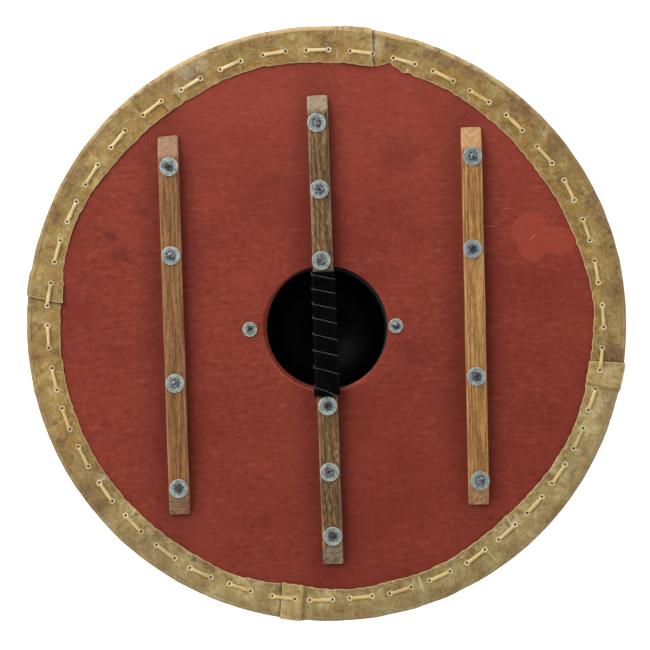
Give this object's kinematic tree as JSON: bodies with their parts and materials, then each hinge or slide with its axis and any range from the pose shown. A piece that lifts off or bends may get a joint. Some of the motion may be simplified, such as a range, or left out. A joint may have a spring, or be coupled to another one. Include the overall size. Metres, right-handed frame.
{
  "type": "round shield",
  "caption": "Round wooden shield lying face down on its boss: a red board edged with laced rawhide, crossed by riveted battens, with a leather-bound grip over the hand hole.",
  "frame": {"origin": "under the middle of the disc, level with the flat spot on the boss's crown that the shield rests on", "axes": "+Z from the front of the shield to its grip side; +Y along the grip, with the hand hole 6 mm off the middle of the disc towards -Y; +X to the right of +Y seen from the grip side"},
  "size_m": [0.7617, 0.7632, 0.096],
  "materials": {
    "red_paint": "matt red paint brushed thinly over a plywood board, fine horizontal grain, stains and one repainted patch",
    "rawhide": "translucent yellow-brown rawhide, mottled, dried hard with a slight shine",
    "lacing_cord": "waxed straw-coloured cord, twisted",
    "boss_black": "gloss black paint over spun steel",
    "batten_wood_left": "oiled open-grained hardwood, medium brown",
    "batten_wood_centre": "oiled open-grained hardwood, grey brown with flecks",
    "batten_wood_right": "oiled straight-grained hardwood, golden brown",
    "grip_leather": "black leather strap, worn grey along its edges",
    "zinc_steel": "zinc-plated steel, dulled, with hammer marks and specks of rust on the peened ends"
  },
  "bodies": {
    "root": {"panel": "red_paint", "boss": "boss_black", "rim_strip_upper_left": "rawhide", "rim_strip_lower_left": "rawhide", "rim_strip_lower_right": "rawhide", "rim_strip_upper_right": "rawhide", "rim_lacing": "lacing_cord", "batten_left": "batten_wood_left", "batten_centre": "batten_wood_centre", "batten_right": "batten_wood_right", "grip_wrap": "grip_leather", "washer_left_1": "zinc_steel", "rivet_left_1": "zinc_steel", "washer_left_2": "zinc_steel", "rivet_left_2": "zinc_steel", "washer_left_3": "zinc_steel", "rivet_left_3": "zinc_steel", "washer_left_4": "zinc_steel", "rivet_left_4": "zinc_steel", "washer_centre_1": "zinc_steel", "rivet_centre_1": "zinc_steel", "washer_centre_2": "zinc_steel", "rivet_centre_2": "zinc_steel", "washer_centre_3": "zinc_steel", "rivet_centre_3": "zinc_steel", "washer_centre_4": "zinc_steel", "rivet_centre_4": "zinc_steel", "washer_centre_5": "zinc_steel", "rivet_centre_5": "zinc_steel", "washer_centre_6": "zinc_steel", "rivet_centre_6": "zinc_steel", "washer_right_1": "zinc_steel", "rivet_right_1": "zinc_steel", "washer_right_2": "zinc_steel", "rivet_right_2": "zinc_steel", "washer_right_3": "zinc_steel", "rivet_right_3": "zinc_steel", "washer_right_4": "zinc_steel", "rivet_right_4": "zinc_steel", "washer_boss_left": "zinc_steel", "rivet_boss_left": "zinc_steel", "washer_boss_right": "zinc_steel", "rivet_boss_right": "zinc_steel"}
  },
  "joints": []
}
